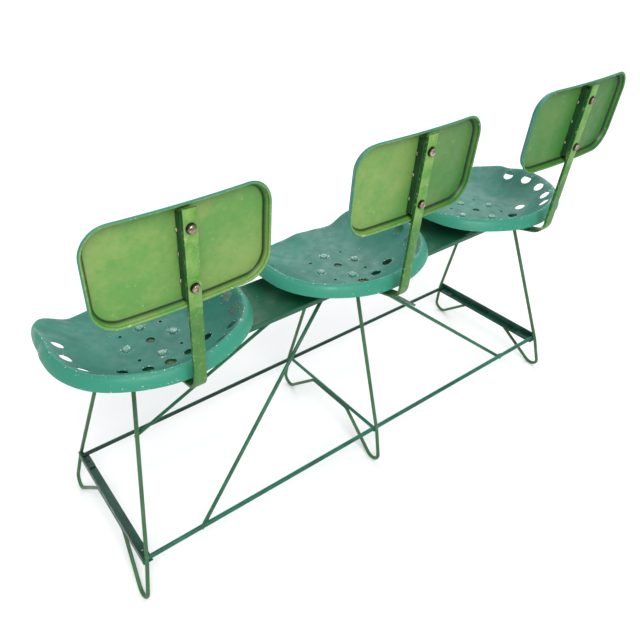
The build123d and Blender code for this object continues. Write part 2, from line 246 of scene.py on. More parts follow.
def chips_group() -> Group:
    """Chips and specks knocked out of paint, thicker where an edge mask is high.

    Returns:
        A group with Vector, Scale, Density and Edge in, and Chips and Rubbed out.
    """
    inputs = {"Vector": None, "Scale": 90.0, "Density": 0.3, "Edge": 0.0}
    group = Group("PaintChips", inputs, {"Chips": "Float", "Rubbed": "Float"})
    given = group.given
    coarse = group.noise(given["Scale"], 5.0, 0.75)
    speck = group.noise(group.maths("MULTIPLY", given["Scale"], 3.6), 2.0, 0.5)
    push = group.maths("ADD", group.maths("MULTIPLY", given["Edge"], 0.17),
                       group.maths("MULTIPLY", given["Density"], 0.1))
    lifted = group.maths("ADD", coarse, push)
    specks = group.span(group.maths("ADD", speck, push), 0.79, 0.81)
    group.feed(group.result["Chips"], group.maths("MAXIMUM", group.span(lifted, 0.765, 0.79), specks))
    group.feed(group.result["Rubbed"], group.span(lifted, 0.6, 0.78))
    return group


def skin_group() -> Group:
    """Brushed-on paint's skin: orange peel, sags and dust nibs, as a height.

    Returns:
        A group with Vector, Peel and Chips in, and Height and Gloss out.
    """
    inputs = {"Vector": None, "Peel": 420.0, "Chips": 0.0}
    group = Group("PaintSkin", inputs, {"Height": "Float", "Gloss": "Float"})
    given = group.given
    peel = group.noise(given["Peel"], 2.0, 0.5)
    sag = group.noise(group.maths("MULTIPLY", given["Peel"], 0.12), 3.0, 0.55)
    skin = group.maths("ADD", group.maths("MULTIPLY", peel, 0.35), sag)
    pits = group.maths("MULTIPLY", given["Chips"], 0.5)
    group.feed(group.result["Height"], group.maths("SUBTRACT", skin, pits))
    group.feed(group.result["Gloss"], group.span(sag, 0.3, 0.7))
    return group


@dataclass
class Groups:
    """The shader groups that all finishes share."""

    mottle: Group
    chips: Group
    skin: Group

    @classmethod
    def build(cls) -> Groups:
        """Builds each group once."""
        return cls(mottle_group(), chips_group(), skin_group())


class Surface(Nodes):
    """A material's nodes round its shader."""

    def __init__(self, name: str) -> None:
        """Makes the material with its shader and positions."""
        self.material = bpy.data.materials.new(name)
        self.material.use_nodes = True
        super().__init__(self.material.node_tree)
        self.shader = self.tree.nodes["Principled BSDF"].inputs
        self.place = self.node("TexCoord").outputs["Object"]

    def group(self, group: Group, inputs: dict[str, object]) -> bpy.types.NodeOutputs:
        """Places a shared group, feeds it positions and gives its outputs."""
        return self.node("Group", {"Vector": self.place, **inputs}, node_tree=group.tree).outputs

    def mask(self, mask: Mask) -> Socket:
        """A mask that the mesh carries."""
        return self.node("Attribute", attribute_name=mask.value).outputs["Fac"]

    def skinned(self, colour: Socket, skin: bpy.types.NodeOutputs, gloss: tuple[float, float],
                bump: tuple[float, float]) -> Material:
        """Joins the colour and the skin to the shader.

        Args:
            colour: The colour.
            skin: The skin group's outputs.
            gloss: Least and greatest roughness.
            bump: Strength and depth of the skin's bumps.

        Returns:
            The material.
        """
        self.feed(self.shader["Base Color"], colour)
        rough = self.node("MapRange", {"Value": skin["Gloss"], "To Min": gloss[0], "To Max": gloss[1]})
        self.feed(self.shader["Roughness"], rough.outputs["Result"])
        dents = self.node("Bump", {"Height": skin["Height"], "Strength": bump[0], "Distance": bump[1]})
        self.feed(self.shader["Normal"], dents.outputs["Normal"])
        return self.material


# ---- Finishes ----
@dataclass(frozen=True)
class Paint:
    """Worn brushed-on paint.

    Attributes are its tones, its painted shade and highlight colours, how it is chipped and how glossy it
    is.
    """

    name: str
    slot: str
    tone_a: Colour
    tone_b: Colour
    # Second colour: a real second paint on backs, painted highlight on seat skirts, painted shade on strap
    # sides.
    accent_and_shading: Colour
    rubbed: Colour
    chip: Colour
    # Colour of the painted shade in bends, undersides and round fixings.
    painted_shade: Colour
    # Colour of the painted shade across backs and down straps.
    shade_grade: Colour = tint(38, 101, 39)
    patch_scale: float = 14.0
    chip_scale: float = 95.0
    density: float = 0.2
    rub_share: float = 0.45
    gloss: tuple[float, float] = (0.34, 0.52)
    shine: float = 0.36
    peel: float = 420.0
    bump: tuple[float, float] = (0.12, MM)

    def material(self, groups: Groups) -> Material:
        """Builds the paint's material.

        Args:
            groups: The shared shader groups.

        Returns:
            The material.
        """
        made = Surface(self.name)
        tones = {"Tone A": self.tone_a, "Tone B": self.tone_b, "Scale": self.patch_scale}
        wear = {"Scale": self.chip_scale, "Density": self.density, "Edge": made.mask(Mask.WEAR)}
        chips = made.group(groups.chips, wear)
        colour = made.group(groups.mottle, tones)["Colour"]
        # Layers over the mottle: painted shade across backs and straps, second tone with painted highlight
        # and shade, rubbed wear, painted shade in bends and undersides, chips.
        for share, over in (
            (made.mask(Mask.SHADE_GRADE), self.shade_grade),
            (made.mask(Mask.TONE_AND_SHADING), self.accent_and_shading),
            (made.maths("MULTIPLY", chips["Rubbed"], self.rub_share), self.rubbed),
            (made.mask(Mask.PAINTED_SHADE), self.painted_shade),
            (chips["Chips"], self.chip),
        ):
            colour = made.mix(share, colour, over)
        made.feed(made.shader["Specular IOR Level"], self.shine)
        skin = made.group(groups.skin, {"Peel": self.peel, "Chips": chips["Chips"]})
        return made.skinned(colour, skin, self.gloss, self.bump)


@dataclass(frozen=True)
class BareSteel:
    """Dull plated steel of the unpainted fixings, browned in places, with painted shadow where its mask
    asks.
    """

    name: str
    slot: str
    bright: Colour
    brown: Colour
    painted_shadow: Colour
    patch_scale: float = 160.0
    gloss: tuple[float, float] = (0.24, 0.46)
    metallic: float = 0.85
    peel: float = 1400.0
    bump: tuple[float, float] = (0.15, 0.5 * MM)

    def material(self, groups: Groups) -> Material:
        """Builds the steel's material.

        Args:
            groups: The shared shader groups.

        Returns:
            The material.
        """
        made = Surface(self.name)
        tones = {"Tone A": self.bright, "Tone B": self.brown, "Scale": self.patch_scale}
        mottle = made.group(groups.mottle, tones)
        # Painted shadow where the mask asks.
        colour = made.mix(made.mask(Mask.PAINTED_SHADE), mottle["Colour"], self.painted_shadow)
        made.feed(made.shader["Metallic"], self.metallic)
        return made.skinned(colour, made.group(groups.skin, {"Peel": self.peel}), self.gloss, self.bump)


PRIMER = tint(226, 232, 222)
SEAT_PAINT = Paint(
    "seat_teal", "seat_paint", tint(20, 105, 88), tint(31, 120, 102), tint(47, 134, 109),
    tint(68, 135, 116), PRIMER, tint(14, 58, 48), patch_scale=9.0, density=0.35,
)
BACK_PAINT = Paint(
    "back_green", "back_paint", tint(87, 140, 63), tint(124, 152, 79), tint(44, 119, 96),
    tint(165, 199, 121), PRIMER, tint(5, 38, 13), patch_scale=11.0, density=0.05, rub_share=0.5,
)
STRAP_PAINT = Paint(
    "strap_green", "strap_paint", tint(73, 132, 42), tint(116, 154, 73), tint(22, 84, 34),
    tint(159, 192, 115), tint(170, 186, 130), tint(10, 58, 22), patch_scale=44.0, density=0.0,
)
# Painted shade: near-black green for the channels behind the straps and the seat spacers, which stand in
# shade.
CHANNEL_SHADED_PAINT = Paint(
    "channel_green_painted_shade", "channel_paint", tint(15, 53, 26), tint(27, 71, 36), tint(40, 96, 60),
    tint(72, 124, 76), PRIMER, tint(8, 34, 18),
)
RAIL_PAINT = Paint(
    "rail_teal", "rail_paint", tint(16, 77, 53), tint(28, 94, 64), tint(60, 130, 100),
    tint(43, 104, 74), PRIMER, tint(10, 44, 28), patch_scale=8.0, chip_scale=120.0, density=0.35,
)
LEG_PAINT = Paint(
    "leg_green", "leg_paint", tint(41, 87, 49), tint(60, 104, 67), tint(60, 130, 90),
    tint(88, 132, 91), tint(180, 196, 170), tint(16, 54, 32), patch_scale=16.0,
)
ROD_PAINT = Paint(
    "rod_teal", "stretcher_paint", tint(14, 82, 62), tint(34, 108, 86), tint(60, 130, 100),
    tint(65, 109, 89), tint(170, 190, 176), tint(14, 52, 40), patch_scale=16.0,
)
BRACE_PAINT = Paint(
    "brace_teal", "brace_paint", tint(14, 80, 54), tint(34, 106, 76), tint(60, 130, 100),
    tint(68, 111, 83), tint(170, 190, 176), tint(14, 52, 36), patch_scale=18.0,
)
ANGLE_PAINT = Paint(
    "angle_teal", "angle_paint", tint(8, 50, 38), tint(20, 76, 60), tint(70, 136, 110),
    tint(65, 114, 93), tint(160, 180, 168), tint(10, 38, 32), patch_scale=22.0,
)
BOLT_PAINT = Paint(
    "bolt_teal", "bolt_paint", tint(54, 124, 106), tint(86, 143, 126), tint(70, 150, 130),
    tint(126, 170, 156), PRIMER, tint(14, 58, 48), chip_scale=260.0, density=0.9, rub_share=0.7,
)
# Painted shade: a darker copy of the rod paint for the front stretcher, which stands in shade.
FRONT_ROD_SHADED_PAINT = replace(ROD_PAINT, name="rod_teal_painted_shade", tone_a=tint(4, 42, 30), tone_b=tint(10, 62, 46))
BARE_STEEL = BareSteel(
    "bare_fixing_steel", "bare_fixing", tint(196, 184, 168), tint(96, 76, 60), tint(20, 16, 12),
)
ALL_FINISHES: tuple[Paint | BareSteel, ...] = (
    SEAT_PAINT, BACK_PAINT, STRAP_PAINT, CHANNEL_SHADED_PAINT, RAIL_PAINT, LEG_PAINT, ROD_PAINT, FRONT_ROD_SHADED_PAINT,
    BRACE_PAINT, ANGLE_PAINT, BOLT_PAINT, BARE_STEEL,
)


# ---- Mesh building ----
def grid_faces(mesh: BMesh, rows: Sequence[Sequence[bmesh.types.BMVert]]) -> None:
    """Joins closed rows of vertices into quads.

    Args:
        mesh: The mesh that holds them.
        rows: Rows of equal length.
    """
    for first, second in zip(rows, rows[1:]):
        for i in range(len(first)):
            j = (i + 1) % len(first)
            corners = list(dict.fromkeys((first[i], first[j], second[j], second[i])))
            if len(corners) > 2:
                mesh.faces.new(corners)


def sweep(mesh: BMesh, path: Sequence[Vector], section: Callable[[float], Sequence[Vector]],
          side: Vector | None = None) -> None:
    """Sweeps a closed section along a path and caps its ends.

    Args:
        mesh: The mesh to add to.
        path: Points of the path.
        section: Gives the section's points, X across and Y up, at a share of the way along.
        side: The way the section's X points all along; worked out from the path if left out.
    """
    rows = []
    across = side
    for i, point in enumerate(path):
        ahead = (path[min(i + 1, len(path) - 1)] - path[max(i - 1, 0)]).normalized()
        if side is None:
            across = across or ahead.orthogonal().normalized()
            across = (across - ahead * across.dot(ahead)).normalized()
        up = ahead.cross(across).normalized()
        ring = section(i / (len(path) - 1))
        rows.append([mesh.verts.new(point + across * p.x + up * p.y) for p in ring])
    grid_faces(mesh, rows)
    mesh.faces.new(list(reversed(rows[0])))
    mesh.faces.new(rows[-1])


def circle(radius: float, sides: int) -> list[Vector]:
    """Points of a circle in the XY plane."""
    return [Vector((radius * math.cos(a), radius * math.sin(a), 0)) for a in
            (2 * math.pi * i / sides for i in range(sides))]


def quarter_turns(steps: int, first: int = 0) -> list[float]:
    """Angles of the steps of a quarter turn, from the first up to just before its end."""
    return [math.pi / 2 * step / steps for step in range(first, steps)]


def dome(radius: float, foot: float, top: float, first: int = 1) -> list[Ring]:
    """Round rings of a quarter dome, for a lathe.

    Args:
        radius: Radius at the foot.
        foot: Height of the foot.
        top: Height of the tip.
        first: The first of its eight rings, 0 being the foot.

    Returns:
        The rings, the tip last.
    """
    rings = [(radius * math.cos(t), foot + (top - foot) * math.sin(t), 0) for t in quarter_turns(8, first)]
    return rings + [(0, top, 0)]


def lathe(mesh: BMesh, frame: Matrix, profile: Sequence[Ring], steps: int = 36) -> None:
    """Turns a profile round a frame's Z, with rings that can be part hexagon.

    Args:
        mesh: The mesh to add to.
        frame: Where it stands.
        profile: Radius, height and hexagon share (0 round, 1 hexagon) of each ring.
        steps: Vertices in a ring.
    """
    rows = []
    for radius, height, six in profile:
        if radius < 1e-7:
            tip = mesh.verts.new(frame @ Vector((0, 0, height)))
            rows.append([tip] * steps)
            continue
        ring = []
        for i in range(steps):
            angle = 2 * math.pi * i / steps
            sector = (angle + math.pi / 6) % (math.pi / 3) - math.pi / 6
            reach = radius * (1 + six * (1 / math.cos(sector) - 1))
            spot = Vector((reach * math.cos(angle), reach * math.sin(angle), height))
            ring.append(mesh.verts.new(frame @ spot))
        rows.append(ring)
    grid_faces(mesh, rows)


def rounded_path(points: Sequence[Vector], radii: Sequence[float], step: float) -> list[Vector]:
    """Walks a line of straight runs with round corners.

    Args:
        points: Ends and corners.
        radii: Radius at each inner corner.
        step: Rough spacing of the points that come back.

    Returns:
        Points along the rounded line.
    """
    walk = [points[0]]
    for before, corner, after, radius in zip(points, points[1:], points[2:], radii):
        arrive, leave = (corner - before).normalized(), (after - corner).normalized()
        turn = arrive.angle(leave)
        reach = radius * math.tan(turn / 2)
        start, end = corner - arrive * reach, corner + leave * reach
        walk += _run(walk[-1], start, step)
        normal = (leave - arrive * arrive.dot(leave)).normalized()
        hub = start + normal * radius
        count = max(3, int(radius * turn / step * 1.5))
        for i in range(1, count + 1):
            swing = turn * i / count
            walk.append(hub - normal * radius * math.cos(swing) + arrive * radius * math.sin(swing))
        walk[-1] = end
    return walk + _run(walk[-1], points[-1], step)


def _run(start: Vector, end: Vector, step: float) -> list[Vector]:
    """Evenly spaced points from just after start up to end."""
    count = max(1, round((end - start).length / step))
    return [start.lerp(end, i / count) for i in range(1, count + 1)]


def freed(name: str, mesh: BMesh) -> bpy.types.Mesh:
    """Turns a mesh under construction into named mesh data that faces outward."""
    bmesh.ops.recalc_face_normals(mesh, faces=mesh.faces)
    data = bpy.data.meshes.new(name)
    mesh.to_mesh(data)
    mesh.free()
    return data


def placed(name: str, data: bpy.types.ID) -> Piece:
    """Makes an object of the data and links it to the scene."""
    made = bpy.data.objects.new(name, data)
    bpy.context.scene.collection.objects.link(made)
    return made


def finished_piece(name: str, mesh: BMesh | bpy.types.Mesh, material: Material,
                   replaced: Sequence[str] = (), sharp: float = 40.0) -> Piece:
    """Turns a mesh into a shown piece that rides on the bench.

    Args:
        name: The piece's name.
        mesh: Its mesh, in the bench's own place.
        material: Its finish.
        replaced: CAD nodes that it stands for.
        sharp: Edges that turn more than this many degrees stay crisp.

    Returns:
        The piece.
    """
    data = freed(name, mesh) if isinstance(mesh, BMesh) else mesh
    data.name = name
    data.shade_smooth()
    data.set_sharp_from_angle(angle=math.radians(sharp))
    data.materials.clear()
    data.materials.append(material)
    piece = placed(name, data)
    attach(piece, BODY)
    if replaced:
        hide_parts(*replaced)
    LOG.info("piece %s: %d faces", name, len(data.polygons))
    return piece


def paint_masks(piece: Piece, masks: dict[Mask, Callable[[Vector], float]]) -> None:
    """Paints masks on a piece, each from a function of place that gives 0 to 1.

    Args:
        piece: The piece.
        masks: The function of each mask.
    """
    data = piece.data
    for mask, value in masks.items():
        layer = data.attributes.new(mask.value, "FLOAT", "POINT")
        layer.data.foreach_set("value", [min(max(value(v.co), 0.0), 1.0) for v in data.vertices])


# ---- Seats ----
LIP_REACH, LIP_WIDTH = 9 * MM, 3.2 * MM
RIM_WEAR, HEM_WEAR, LIP_WEAR, BOLT_WEAR = 0.55, 0.35, 0.75, 0.8
# Strength of the painted shade under the pan and in the bend at the wall's foot.
UNDER_SHADE, BEND_SHADE = 0.35, 0.12
# Shares of the way to the crest: worn rim, worn hem, start of the skirt's painted highlight, painted shade
# in the bend.
RIM_SHARE, HEM_SHARE, SKIRT_SHARE, BEND_SHARE = 1.02, 1.16, 0.93, 0.88
PUNCH_HALF = 0.02
BOLT_REACH = 47.0 * MM


@dataclass(frozen=True)
class Hole:
    """A punched hole: place from the seat's centre, diameter and how far its lip stands up."""

    x: float
    y: float
    dia: float
    lip: float


@dataclass(frozen=True)
class SeatShape:
    """The dished form that all three seats are pressed to, in metres."""

    sheet: float = 2.0 * MM
    flat: float = 72.0 * MM
    half_width: float = 175.0 * MM
    rear: float = 149.0 * MM
    front: float = 148.0 * MM
    square_rear: float = 2.2
    square_front: float = 8.0
    rise: tuple[tuple[float, float], ...] = (
        (-90, 13), (-74, 9), (-57, 5), (-41, 31), (-20, 49), (0, 58), (45, 56), (90, 50),
    )
    skirt_out: float = 18.0 * MM
    skirt_drop: float = 21.5 * MM
    skirt_front_share: float = 0.3
    skirt_curve: tuple[tuple[float, float], ...] = (
        (0.08, -0.01), (0.3, 0.05), (0.55, 0.22), (0.8, 0.58), (1.0, 1.0),
    )
    front_turn: tuple[float, float] = (-12.0, -42.0)
    centre_hole: float = 17.0 * MM
    drain_hole: float = 6.5 * MM
    drain_reach: float = 59.0 * MM
    rim_hole: float = 24.0 * MM
    rim_hole_angles: tuple[float, ...] = (-12, 6, 23, 40, 56)
    rim_hole_share: float = 0.84
    arc_hole: float = 22.0 * MM
    arc_spots: tuple[tuple[float, float], ...] = ((0, 80), (41, 75), (83, 63))

    def mirrored(self, angle: float) -> float:
        """The angle folded onto the +X side, in degrees."""
        angle = (angle + 90) % 360 - 90
        return 180 - angle if angle > 90 else angle

    def rim_rise(self, angle: float) -> float:
        """Rise of the crest over the flat at an angle in degrees, 90 being the rear."""
        angle = self.mirrored(angle)
        for (a0, h0), (a1, h1) in zip(self.rise, self.rise[1:]):
            if a0 <= angle <= a1:
                return (h0 + (h1 - h0) * eased((angle - a0) / (a1 - a0))) * MM
        return self.rise[-1][1] * MM

    def front_share(self, angle: float) -> float:
        """1 along the front edge, 0 at the sides and rear."""
        start, end = self.front_turn
        return eased((start - self.mirrored(angle)) / (start - end))

    def reach(self, angle: float) -> float:
        """Distance from the centre to the crest at an angle."""
        turn = math.radians(angle)
        power = self.square_rear + (self.square_front - self.square_rear) * self.front_share(angle)
        depth = self.rear if math.sin(turn) > 0 else self.front
        x, y = abs(math.cos(turn)) / self.half_width, abs(math.sin(turn)) / depth
        return (x ** power + y ** power) ** (-1 / power)

    def height(self, angle: float, share: float) -> float:
        """Height over the flat, share running from the flat's edge (0) to the crest (1)."""
        share = max(share, 0.0)
        return self.rim_rise(angle) * share * share * (3 - share) / 2

    def section(self, angle: float, fineness: int) -> list[tuple[float, float]]:
        """Upper surface cut at an angle, from the centre to the hem.

        Args:
            angle: Degrees.
            fineness: Points in each span of the smooth curve.

        Returns:
            Distance and height of each point.
        """
        reach, crest = self.reach(angle), self.rim_rise(angle)
        size = 1 - (1 - self.skirt_front_share) * self.front_share(angle)
        knots = [(self.flat * s, 0.0) for s in (0.0, 0.5, 0.8, 1.0)]
        knots += [(self.flat + (reach - self.flat) * s, self.height(angle, s))
                  for s in (0.2, 0.4, 0.6, 0.8, 0.93)]
        knots += [(reach + self.skirt_out * size * out, crest - self.skirt_drop * size * drop)
                  for out, drop in self.skirt_curve]
        return smooth_through(knots, fineness)

    def holes(self) -> list[Hole]:
        """Every punched hole but the bolts', which the bolt heads cover."""
        step = self.drain_reach * math.sqrt(0.5)
        found = [Hole(0, 0, self.centre_hole, 0.5 * MM)]
        found += [Hole(sx * step, sy * step, self.drain_hole, 0.3 * MM) for sx in (-1, 1) for sy in (-1, 1)]
        for angle in self.rim_hole_angles:
            reach = self.flat + (self.reach(angle) - self.flat) * self.rim_hole_share
            turn = math.radians(angle)
            for side in (-1, 1):
                spot = side * reach * math.cos(turn), reach * math.sin(turn)
                found.append(Hole(*spot, self.rim_hole, 0.9 * MM))
        for x, y in self.arc_spots:
            for side in (-1, 1) if x else (1,):
                found.append(Hole(side * x * MM, y * MM, self.arc_hole, 0.7 * MM))
        return found

    def sheet_height(self, x: float, y: float) -> float:
        """Height of the sheet over the flat at a place seen from above."""
        return self.height(math.degrees(math.atan2(y, x)), self.share_at(x, y))

    def share_at(self, x: float, y: float) -> float:
        """Share of the way from the flat's edge to the crest of a place seen from above."""
        reach = self.reach(math.degrees(math.atan2(y, x)))
        return (math.hypot(x, y) - self.flat) / (reach - self.flat)

    def normal(self, hole: Hole) -> Vector:
        """The way up out of the sheet at a hole."""
        step, at = 2 * MM, self.sheet_height
        slope_x = (at(hole.x + step, hole.y) - at(hole.x - step, hole.y)) / (2 * step)
        slope_y = (at(hole.x, hole.y + step) - at(hole.x, hole.y - step)) / (2 * step)
        return Vector((-slope_x, -slope_y, 1)).normalized()


def smooth_through(knots: Sequence[tuple[float, float]], fineness: int) -> list[tuple[float, float]]:
    """Smooth curve through points in a plane.

    Args:
        knots: The points.
        fineness: Points in each span.

    Returns:
        Points along the curve, the first knot among them.
    """
    walk = [knots[0]]
    for i in range(len(knots) - 1):
        p = [Vector(knots[min(max(i + j, 0), len(knots) - 1)]) for j in (-1, 0, 1, 2)]
        for step in range(1, fineness + 1):
            t = step / fineness
            point = 0.5 * ((2 * p[1]) + (p[2] - p[0]) * t + (2 * p[0] - 5 * p[1] + 4 * p[2] - p[3]) * t * t
                           + (3 * p[1] - p[0] - 3 * p[2] + p[3]) * t ** 3)
            walk.append((point.x, point.y))
    return walk


@dataclass
class SeatPan:
    """One pressed seat with its punched holes, dents and worn rim."""

    place: Place
    shape: SeatShape = field(default_factory=SeatShape)
    dent: float = 0.35 * MM
    dent_scale: float = 14.0

    @staticmethod
    def pressing(shape: SeatShape, columns: int, fineness: int) -> bpy.types.Mesh:
        """Presses the sheet and punches its holes, centred on the origin with the flat at height 0.

        Args:
            shape: The seat's form.
            columns: Points round the seat.
            fineness: Points in each span of a section.

        Returns:
            The mesh that all seats start from.
        """
        mesh = bmesh.new()
        columns_of = [shape.section(360 * i / columns, fineness) for i in range(columns)]
        rows = []
        for k in range(1, len(columns_of[0])):
            ring = []
            for i, column in enumerate(columns_of):
                turn = 2 * math.pi * i / columns
                reach, height = column[k]
                ring.append(mesh.verts.new((reach * math.cos(turn), reach * math.sin(turn), height)))
            rows.append(ring)
        hub = mesh.verts.new((0, 0, 0))
        grid_faces(mesh, [[hub] * columns] + rows)
        bmesh.ops.recalc_face_normals(mesh, faces=mesh.faces)
        mesh.normal_update()
        up = 1 if sum(f.normal.z for f in mesh.faces) > 0 else -1
        holes = shape.holes()
        for vert in mesh.verts:
            lift = 0.0
            for hole in holes:
                away = math.hypot(vert.co.x - hole.x, vert.co.y - hole.y) - hole.dia / 2
                if away < LIP_REACH:
                    lift = max(lift, hole.lip * bell(max(away, 0), LIP_WIDTH))
            vert.co += vert.normal * up * lift
        data = bpy.data.meshes.new("seat_pressing")
        if up < 0:
            bmesh.ops.reverse_faces(mesh, faces=mesh.faces)
        mesh.to_mesh(data)
        mesh.free()
        return SeatPan._punched(data, shape, holes)

    @staticmethod
    def _punched(data: bpy.types.Mesh, shape: SeatShape, holes: Sequence[Hole]) -> bpy.types.Mesh:
        """Gives the sheet its thickness and cuts the holes square to it.

        Args:
            data: The sheet's upper surface.
            shape: The seat's form.
            holes: What to cut.

        Returns:
            The punched mesh.
        """
        tools = bmesh.new()
        for hole in holes:
            foot = Vector((hole.x, hole.y, shape.sheet_height(hole.x, hole.y)))
            turn = shape.normal(hole).to_track_quat("Z", "Y").to_matrix().to_4x4()
            stand = Matrix.Translation(foot) @ turn
            corners = ((0, -1), (hole.dia / 2, -1), (hole.dia / 2, 1), (0, 1))
            lathe(tools, stand, [(radius, side * PUNCH_HALF, 0) for radius, side in corners], 40)
        sheet = placed("seat_sheet", data)
        punches = placed("seat_punches", freed("seat_punches", tools))
        thick = sheet.modifiers.new("sheet", "SOLIDIFY")
        thick.thickness = shape.sheet
        thick.offset = -1
        cut = sheet.modifiers.new("punch", "BOOLEAN")
        cut.operation = "DIFFERENCE"
        cut.solver = "EXACT"
        cut.object = punches
        bpy.context.view_layer.update()
        shown = sheet.evaluated_get(bpy.context.evaluated_depsgraph_get())
        ready = bpy.data.meshes.new_from_object(shown)
        for item in (sheet, punches):
            bpy.data.objects.remove(item)
        return ready

    def build(self, pressing: bpy.types.Mesh, material: Material) -> Piece:
        """Sets the pressing in its place, dents it and paints its masks.

        Args:
            pressing: The punched seat, centred on the origin.
            material: The seat's paint.

        Returns:
            The piece.
        """
        middle = centre(f"seat_bolts_{self.place.value}")
        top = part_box(f"seat_spacers_{self.place.value}")[1].z + self.shape.sheet
        data = pressing.copy()
        for vert in data.vertices:
            place = vert.co + Vector((middle.x, middle.y, 0))
            share = self.shape.share_at(vert.co.x, vert.co.y)
            depth = self.dent * (1 + min(max(share, 0), 1.4) * 2.2)
            vert.co.z += noise.noise(place * self.dent_scale) * depth
        data.transform(Matrix.Translation((middle.x, middle.y, top)))
        piece = finished_piece(f"seat_{self.place.value}", data, material,
                               [f"seat_pan_{self.place.value}"], sharp=50)
        holes = self.shape.holes()
        bolts = [Vector((x, y)) * BOLT_REACH for x, y in CROSS]

        def local(point: Vector) -> tuple[Vector, float]:
            """A point seen from the seat's centre, and its share of the way to the crest."""
            spot = Vector((point.x - middle.x, point.y - middle.y, point.z - top))
            return spot, self.shape.share_at(spot.x, spot.y)

        def wear(point: Vector) -> float:
            """Rubbed rim, hole lips and surroundings of the bolts."""
            spot, share = local(point)
            rim = bell(share - RIM_SHARE, 0.06) * RIM_WEAR
            hem = eased((share - HEM_SHARE) / 0.03) * HEM_WEAR
            lip = 0.0
            for hole in holes:
                away = abs(math.hypot(spot.x - hole.x, spot.y - hole.y) - hole.dia / 2)
                lip = max(lip, LIP_WEAR * bell(away, 1.6 * MM))
            ring = max(BOLT_WEAR * bell((spot.xy - bolt).length - 10 * MM, 5 * MM) for bolt in bolts)
            return max(rim, hem, lip, ring)

        def tone_and_shading(point: Vector) -> float:
            """Painted highlight: 1 on the rolled skirt outside the crest."""
            return eased((local(point)[1] - SKIRT_SHARE) / 0.17)

        def painted_shade(point: Vector) -> float:
            """Painted shade in the bend where the wall leaves the flat, and under the pan."""
            spot, share = local(point)
            below = spot.z < self.shape.sheet_height(spot.x, spot.y) - 1.2 * MM
            return max(UNDER_SHADE if below and share < 1 else 0.0, BEND_SHADE * bell(share - BEND_SHARE, 0.1))

        paint_masks(piece, {Mask.WEAR: wear, Mask.TONE_AND_SHADING: tone_and_shading, Mask.PAINTED_SHADE: painted_shade})
        return piece


# ---- Backs ----
LEAN = math.radians(2.9)
# Painted shade across each back: its share at the +X end and at the -X end.
SHADE_ACROSS = {Place.LEFT: (0.0, 0.12), Place.MIDDLE: (0.0, 0.75), Place.RIGHT: (0.62, 0.8)}


